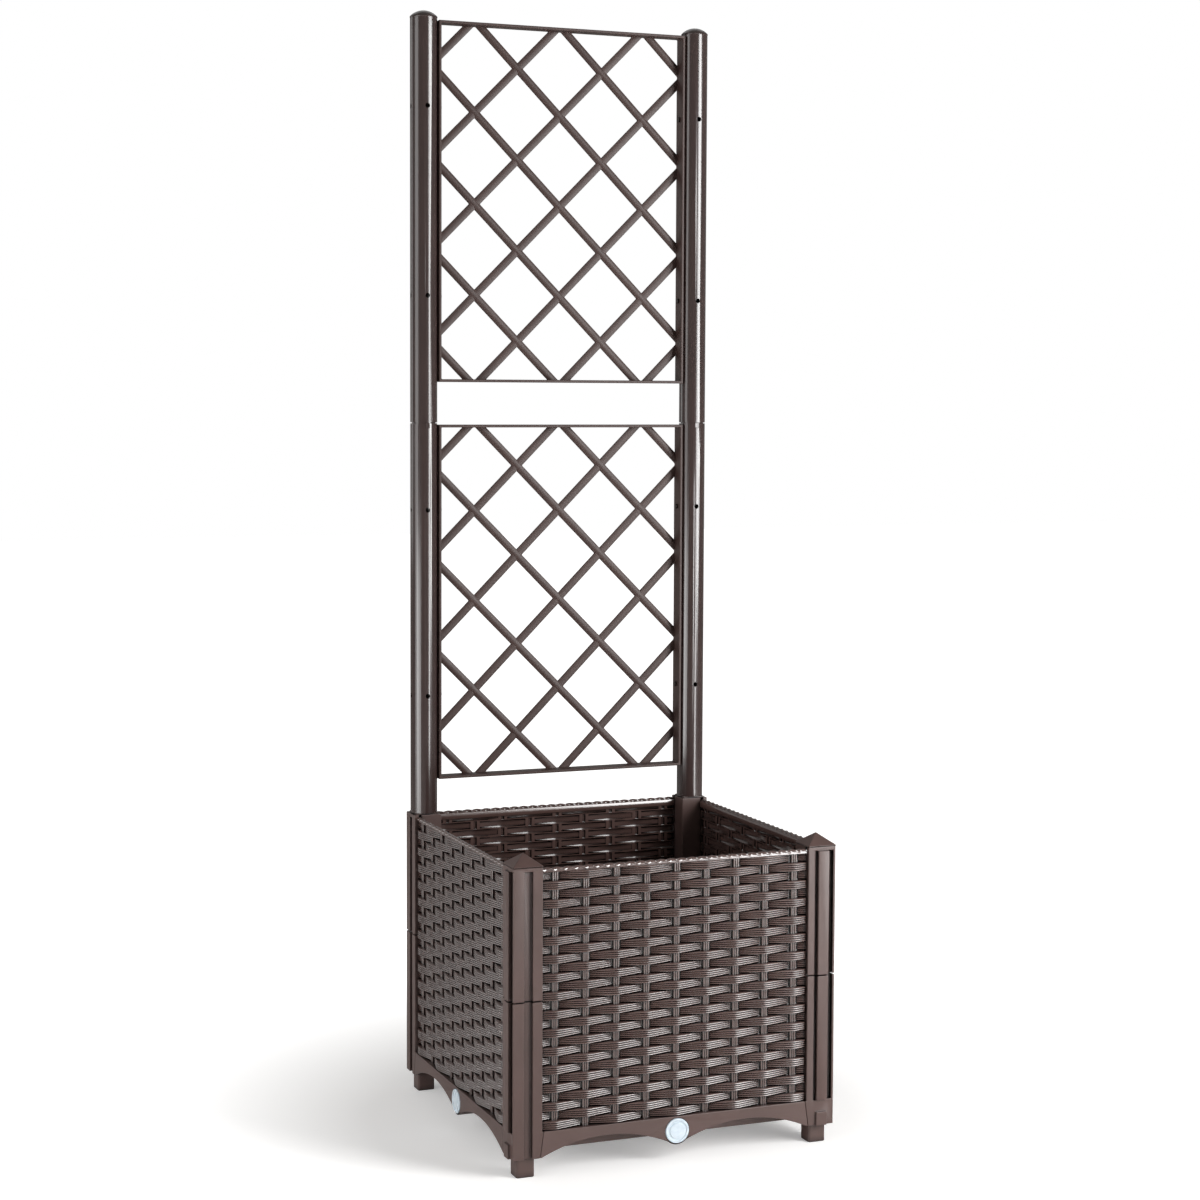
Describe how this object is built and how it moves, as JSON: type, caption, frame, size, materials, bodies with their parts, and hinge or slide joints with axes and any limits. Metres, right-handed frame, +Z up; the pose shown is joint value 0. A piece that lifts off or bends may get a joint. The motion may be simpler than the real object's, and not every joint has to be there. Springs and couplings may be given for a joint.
{
  "type": "planter with trellis",
  "caption": "Square woven-look floor planter on four short feet, with a two-panel lattice trellis on two round poles at its back and pull-out drain plugs.",
  "frame": {"origin": "on the floor, under the middle of the planter's square footprint", "axes": "+Z up, +X to the right along the front, +Y to the back, where the trellis stands"},
  "size_m": [0.411, 0.411, 1.365],
  "materials": {
    "post_plastic": "satin, dark brown, faint grain",
    "woven_plastic": "semi-gloss, dark brown, moulded rattan weave",
    "tray_plastic": "satin, dark brown",
    "pole_plastic": "semi-gloss, dark brown",
    "lattice_plastic": "semi-gloss, dark brown",
    "plug_plastic": "milky, pale blue-grey",
    "screw_steel": "zinc plated"
  },
  "bodies": {
    "planter": {"base_tray": "tray_plastic", "lower_pole_left": "pole_plastic", "lower_pole_right": "pole_plastic", "lower_post_back_left": "post_plastic", "lower_post_back_right": "post_plastic", "lower_post_front_left": "post_plastic", "lower_post_front_right": "post_plastic", "lower_trellis": "lattice_plastic", "lower_trellis_screws": "screw_steel", "pole_cap_left": "pole_plastic", "pole_cap_right": "pole_plastic", "pole_seat_left": "pole_plastic", "pole_seat_right": "pole_plastic", "pole_sleeve_left": "pole_plastic", "pole_sleeve_right": "pole_plastic", "post_cap_front_left": "post_plastic", "post_cap_front_right": "post_plastic", "upper_pole_left": "pole_plastic", "upper_pole_right": "pole_plastic", "upper_post_back_left": "post_plastic", "upper_post_back_right": "post_plastic", "upper_post_front_left": "post_plastic", "upper_post_front_right": "post_plastic", "upper_trellis": "lattice_plastic", "upper_trellis_screws": "screw_steel", "wall_panel_back": "woven_plastic", "wall_panel_front": "woven_plastic", "wall_panel_left": "woven_plastic", "wall_panel_right": "woven_plastic"},
    "plug_front": {"drain_plug_front": "plug_plastic"},
    "plug_right": {"drain_plug_right": "plug_plastic"},
    "plug_back": {"drain_plug_back": "plug_plastic"},
    "plug_left": {"drain_plug_left": "plug_plastic"}
  },
  "joints": [
    {"name": "pull_plug_front", "type": "slide", "parent": "planter", "child": "plug_front", "axis": [0, -1, 0], "range_m": [0, 0.032]},
    {"name": "pull_plug_right", "type": "slide", "parent": "planter", "child": "plug_right", "axis": [1, 0, 0], "range_m": [0, 0.032]},
    {"name": "pull_plug_back", "type": "slide", "parent": "planter", "child": "plug_back", "axis": [0, 1, 0], "range_m": [0, 0.032]},
    {"name": "pull_plug_left", "type": "slide", "parent": "planter", "child": "plug_left", "axis": [-1, 0, 0], "range_m": [0, 0.032]}
  ]
}
